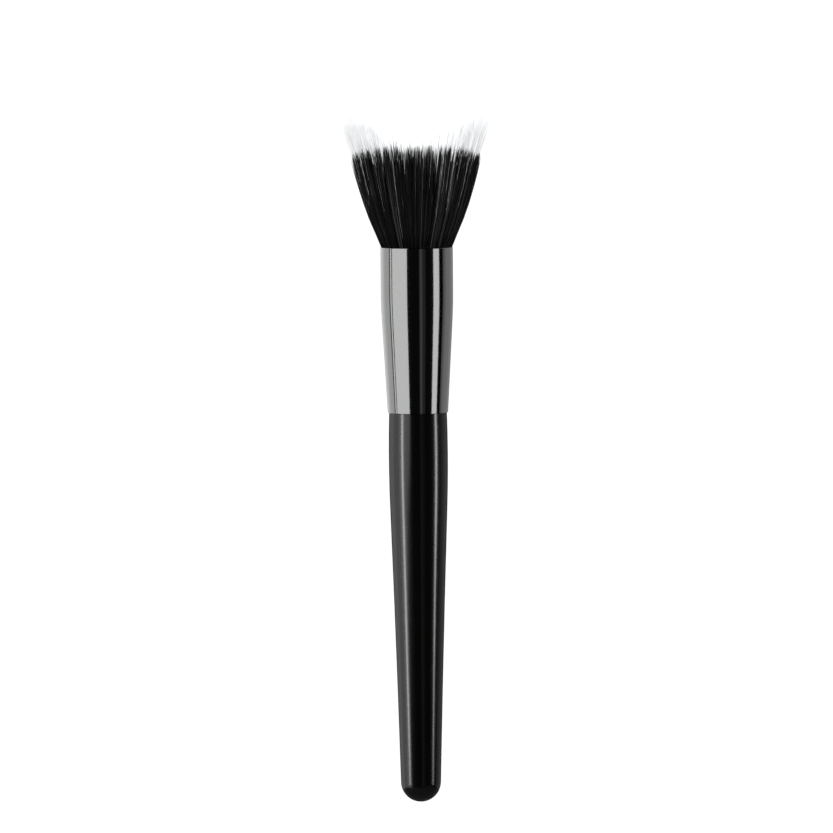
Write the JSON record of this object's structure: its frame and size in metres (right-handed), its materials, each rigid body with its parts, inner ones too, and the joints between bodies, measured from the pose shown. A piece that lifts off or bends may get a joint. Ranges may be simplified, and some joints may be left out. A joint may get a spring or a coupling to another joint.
{
  "type": "stippling brush",
  "caption": "Round duo-fibre stippling brush with a lacquered wooden handle, a plated ferrule and a flared flat-topped tuft of short black hair and longer white fibres.",
  "frame": {"origin": "the lowest point of the handle's butt, on the brush's axis", "axes": "+Z along the brush's axis from the butt to the tips of the hair; +X and +Y square to it, with no front, because the brush is round"},
  "size_m": [0.0382, 0.0382, 0.18],
  "materials": {
    "black_lacquered_wood": "black gloss lacquer over turned wood",
    "gunmetal_plated_aluminium": "bright gunmetal plating on drawn tube",
    "epoxy_adhesive": "set amber epoxy",
    "casting_resin": "clear set resin",
    "cotton_thread": "undyed twisted thread",
    "bound_hair_roots": "black and white hair roots packed tight",
    "black_hair": "fine straight black hair",
    "white_nylon_fibre": "fine straight white fibre"
  },
  "bodies": {
    "root": {"handle": "black_lacquered_wood", "ferrule": "gunmetal_plated_aluminium", "tenon_adhesive": "epoxy_adhesive", "root_resin": "casting_resin", "binding_thread": "cotton_thread", "hair_roots": "bound_hair_roots", "black_hair": "black_hair", "white_fibres": "white_nylon_fibre"}
  },
  "joints": []
}
